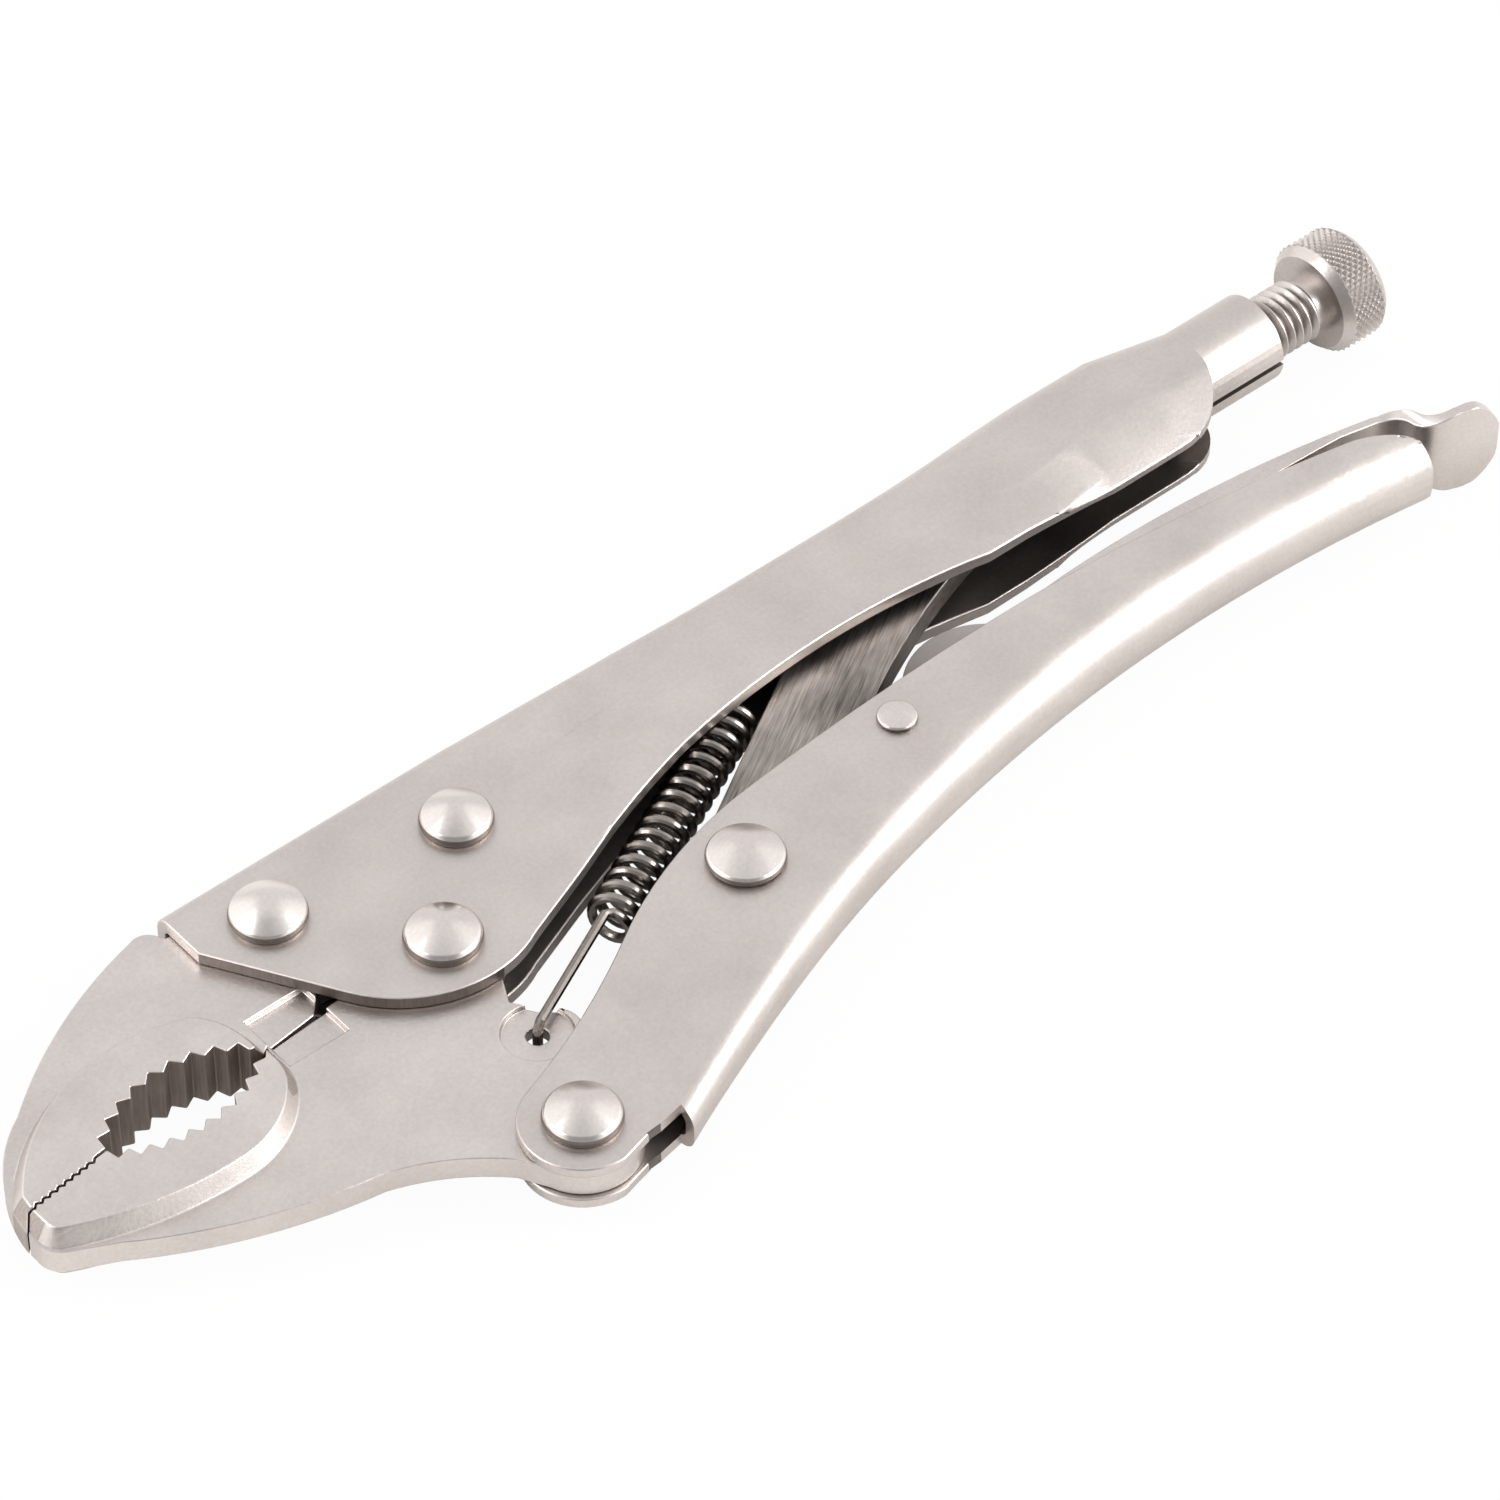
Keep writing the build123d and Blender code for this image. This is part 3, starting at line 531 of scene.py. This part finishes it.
# The paddle is a plate with the outline and thickness of the solid's own, its rim rounded.
# At the bend that carries it, its far side is tucked in.
old = [face for face in bm.faces if place_of(face).x > paddle_from]
pressed = max((face for face in old if face.normal.y < -0.9), key=lambda face: face.calc_area())
inward = -pressed.normal
outline = [vert.co.copy() for vert in pressed.verts]
depth = max((vert.co - outline[0]).dot(inward) for face in old for vert in face.verts)
bmesh.ops.delete(bm, geom=old, context="FACES")
tuck = Vector((-inward.y, inward.x, 0)) * tuck_in / 1000
near = []
far = []
for point in outline:
    shift = tuck if point.x < at(bend_until, 0).x else Vector()
    near.append(bm.verts.new(point))
    far.append(bm.verts.new(point + inward * depth + shift))
rims = [edge for side in (bm.faces.new(near), bm.faces.new(far[::-1])) for edge in side.edges]
for k in range(len(near)):
    bm.faces.new((near[k], near[k - 1], far[k - 1], far[k]))
round_edges(bm, [edge for edge in rims if place_of(edge).x > paddle_from + 0.5], release_rim, clamp=True)
place_piece("release_lever_sheet", bm, [shaded], "release_body", "plated_steel", "release_lever")

# Release rivet. A small plated steel pin, headed over both walls of the lever.
# The release lever tips on it.
rivet(
    "release_rivet_turned", "lever_body", "release_lever_rivet", (69.4, -9.1),
    seat=5.65, shank=1.6, head=2.8, rim=0.7, height=1.5, flat=0.4,
)

# Adjusting screw. Turned from bar and zinc plated: a rolled thread of 1.5 mm pitch, a plain neck,
# and a knob whose rim is rolled with a diamond knurl. It runs in the collar of the fixed handle.
columns = 76
screw_y = 18.4
tip = 121.6
end = 168.6
thread_pitch = 1.5
root = 4.0
crest = 4.75
thread_profile = ((0.0, root), (0.38, crest), (0.5, crest), (0.88, root))
turn_rows = len(thread_profile)
knurl_from = 171.9
knurl_step = 0.52
knurl_rows = 11
knurl_root = 8.05
knurl_crest = 8.45

# Zinc over turned steel: an even satin, a little glossier than the nickel on the sheet.
zinc = steel("zinc_plated_screw", "#BEB6B2", "#D6CFCB", rough=0.34, grain_mm=0.4, depth_mm=0.02)
# Painted shade in the thread: the falling flank and the root of each turn are dark, between the bright
# crests.
thread_shade = steel("thread_painted_shade", "#5E5652", "#7A726D", rough=0.45, grain_mm=0.4, depth_mm=0.01)


def ring_of(bm, places):
    """One ring of the screw from its x and radius at each column."""
    ring = []
    for k, (x, radius) in enumerate(places):
        angle = 2 * pi * k / columns
        ring.append(bm.verts.new(at(x, screw_y + radius * cos(angle), radius * sin(angle))))
    return ring


# The thread is a helix of four rows a turn, so its last column joins the row of the next turn.
bm = bmesh.new()
thread = []
for turn in range(-1, int((end - tip) / thread_pitch) + 2):
    for share, radius in thread_profile:
        run_x = [tip + thread_pitch * (turn + share + k / columns) for k in range(columns)]
        places = [(min(max(x, tip), end), radius if tip < x < end else root) for x in run_x]
        thread.append(ring_of(bm, places))
for row in range(len(thread) - turn_rows - 1):
    for k in range(columns):
        onward = (k + 1) % columns
        wrap = 0 if onward else turn_rows
        low, high = thread[row + wrap], thread[row + 1 + wrap]
        face = bm.faces.new((thread[row][k], low[onward], high[onward], thread[row + 1][k]))
        # The falling flank and the root of each turn take the painted shade.
        face.material_index = int(row % turn_rows > 1)

# The tip, the neck and the knob are plain rings. On the knurl each ring's radius goes up and down.
front_places = [(121.0, 0.0), (121.0, 3.4), (tip, root)]
neck_places = [(end, root), (168.8, 4.1), (170.4, 4.1), (170.4, 7.15), (171.7, 8.2)]
cap_places = [(177.4, 8.2), (178.2, 7.6), (178.2, 0.0)]
front = [ring_of(bm, [place] * columns) for place in front_places]
rear = [ring_of(bm, [place] * columns) for place in neck_places]
for step in range(knurl_rows):
    x = knurl_from + step * knurl_step
    rear.append(ring_of(bm, [(x, knurl_crest if (k + step) % 2 else knurl_root) for k in range(columns)]))
rear += [ring_of(bm, [place] * columns) for place in cap_places]
for rings in (front, rear):
    for step, (low, high) in enumerate(zip(rings, rings[1:])):
        row = step - len(neck_places)
        knurled = rings is rear and 0 <= row < knurl_rows - 1
        for k in range(columns):
            a, b, c, d = low[k - 1], low[k], high[k], high[k - 1]
            if knurled:
                odd = (k - 1 + row) % 2
                bm.faces.new((a, b, d) if odd else (a, b, c))
                bm.faces.new((b, c, d) if odd else (a, c, d))
            else:
                bm.faces.new((a, b, c, d))
bmesh.ops.remove_doubles(bm, verts=bm.verts, dist=1e-6)
bmesh.ops.recalc_face_normals(bm, faces=bm.faces)
place_piece("adjusting_screw_turned", bm, [zinc, thread_shade], "screw_body", "screw_steel", "adjusting_screw")

# Camera, floor and light. The camera stands at the photograph's angle and distance. The tool lies on
# white paper in a white tent, darker on the camera's own side, with softboxes at front right and left.
azimuth = radians(-40.3)
elevation = radians(46.5)
distance = 0.95
target = Vector((-0.0004, 0.011047, 0.00845))


def camera_side(rise):
    """Direction from the tool towards the camera's side, at an elevation."""
    return Vector((sin(azimuth) * cos(rise), -cos(azimuth) * cos(rise), sin(rise)))


back = camera_side(elevation)
camera = bpy.data.objects.new("camera", bpy.data.cameras.new("camera"))
camera.data.lens = 172.1
camera.data.sensor_width = 36.0
camera.location = target + back * distance
camera.rotation_euler = back.to_track_quat("Z", "Y").to_euler()
bpy.context.scene.collection.objects.link(camera)
bpy.context.scene.camera = camera

bm = bmesh.new()
bmesh.ops.create_grid(bm, x_segments=1, y_segments=1, size=3.0)
floor_mesh = bpy.data.meshes.new("floor")
bm.to_mesh(floor_mesh)
bm.free()
floor = bpy.data.objects.new("floor", floor_mesh)
bpy.context.scene.collection.objects.link(floor)

# Matte white paper, washed out in the picture: only a faint shade is left under the tool.
paper = bpy.data.materials.new("white_paper")
paper.use_nodes = True
tree = paper.node_tree
tree.nodes.clear()
ray = add_node(tree, "ShaderNodeLightPath")
share = add_node(tree, "ShaderNodeMath", {1: 0.96}, {0: ray.outputs["Is Camera Ray"]}, operation="MULTIPLY")
matte = add_node(tree, "ShaderNodeBsdfDiffuse", {"Color": linear("#E9E7E5")})
glow = add_node(tree, "ShaderNodeEmission", {"Color": (1, 1, 1, 1), "Strength": 1.0})
both = add_node(
    tree, "ShaderNodeMixShader", links={"Fac": share.outputs[0], 1: matte.outputs[0], 2: glow.outputs[0]}
)
add_node(tree, "ShaderNodeOutputMaterial", links={"Surface": both.outputs[0]})
floor_mesh.materials.append(paper)

# The tent's dark side keeps the flat faces grey, and its bright flanks draw the lines along the bends.
world = bpy.data.worlds.new("studio")
world.use_nodes = True
bpy.context.scene.world = world
tree = world.node_tree
aside = Vector((cos(azimuth), sin(azimuth), 0))
toward = add_node(tree, "ShaderNodeTexCoord").outputs["Generated"]
facing = add_node(
    tree, "ShaderNodeVectorMath", {1: camera_side(radians(25))}, {0: toward}, operation="DOT_PRODUCT"
)
tent = add_node(
    tree, "ShaderNodeMapRange", {"From Min": 0.5, "From Max": 0.92, "To Min": 0.95, "To Max": 0.4},
    {"Value": facing.outputs["Value"]}, interpolation_type="SMOOTHSTEP",
)
across = add_node(tree, "ShaderNodeVectorMath", {1: aside}, {0: toward}, operation="DOT_PRODUCT")
spread = add_node(tree, "ShaderNodeMath", links={0: across.outputs["Value"]}, operation="ABSOLUTE")
panels = add_node(
    tree, "ShaderNodeMapRange", {"From Min": 0.45, "From Max": 0.8, "To Min": 0.0, "To Max": 0.5},
    {"Value": spread.outputs["Value"]}, interpolation_type="SMOOTHSTEP",
)
total = add_node(
    tree, "ShaderNodeMath", links={0: tent.outputs["Result"], 1: panels.outputs["Result"]}, operation="ADD"
)
sky = tree.nodes["Background"]
sky.inputs["Color"].default_value = (1, 1, 1, 1)
tree.links.new(total.outputs["Value"], sky.inputs["Strength"])


def softbox(name, place, size, power):
    """A square studio softbox that faces the tool."""
    lamp = bpy.data.lights.new(name, "AREA")
    lamp.shape = "RECTANGLE"
    lamp.size = size
    lamp.size_y = size
    lamp.energy = power
    box = bpy.data.objects.new(name, lamp)
    box.location = place
    box.rotation_euler = (Vector(place) - target).to_track_quat("Z", "Y").to_euler()
    bpy.context.scene.collection.objects.link(box)


softbox("front_softbox", (0.7, -0.85, 0.7), size=0.7, power=10.0)
softbox("left_softbox", (-1.0, 0.4, 0.9), size=0.6, power=5.0)

bpy.context.scene.view_settings.view_transform = "Standard"
